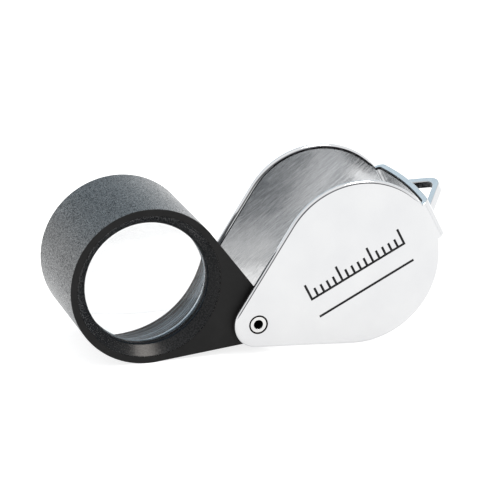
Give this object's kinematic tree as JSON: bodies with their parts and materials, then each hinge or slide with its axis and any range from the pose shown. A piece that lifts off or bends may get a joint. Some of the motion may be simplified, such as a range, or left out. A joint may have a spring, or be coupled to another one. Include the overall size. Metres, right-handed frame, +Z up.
{
  "type": "folding viewing loupe",
  "caption": "Folding magnifier for looking at film and prints: a black lens barrel that swings out of a folded chrome case on a tubular rivet, with a cord loop.",
  "frame": {"origin": "on the surface that the open loupe stands on, under the middle of its bounding box", "axes": "+X from the barrel to the case, +Y along the hinge axis from the front plate to the back plate, +Z up"},
  "size_m": [0.0562, 0.019, 0.0236],
  "materials": {
    "case_chrome": "polished chrome plate on folded steel sheet, finely brushed inside",
    "scale_enamel": "black enamel wiped into the engraving",
    "rivet_steel": "nickel-plated steel, rolled over at both ends",
    "sleeve_brass": "turned brass",
    "washer_steel": "spring steel",
    "barrel_black": "black anodised, with a fine grain round the outside and a satin front face",
    "lens_glass": "polished, clear",
    "spacer_black": "dark anodised, with fine turned lines in its bore",
    "ring_black": "black anodised, satin"
  },
  "bodies": {
    "case": {"folded_case": "case_chrome", "scale_inlay": "scale_enamel", "hinge_rivet": "rivet_steel", "hinge_sleeve": "sleeve_brass", "front_friction_washer": "washer_steel", "back_friction_washer": "washer_steel"},
    "barrel": {"lens_barrel": "barrel_black", "front_lens": "lens_glass", "lens_spacer": "spacer_black", "rear_lens": "lens_glass", "lens_retaining_ring": "ring_black"}
  },
  "joints": [
    {"name": "barrel_swing", "type": "hinge", "parent": "case", "child": "barrel", "pos_m": [-0.00199, 0, 0.00435], "axis": [0, 1, 0], "range_deg": [-230.53, 129.47]}
  ]
}
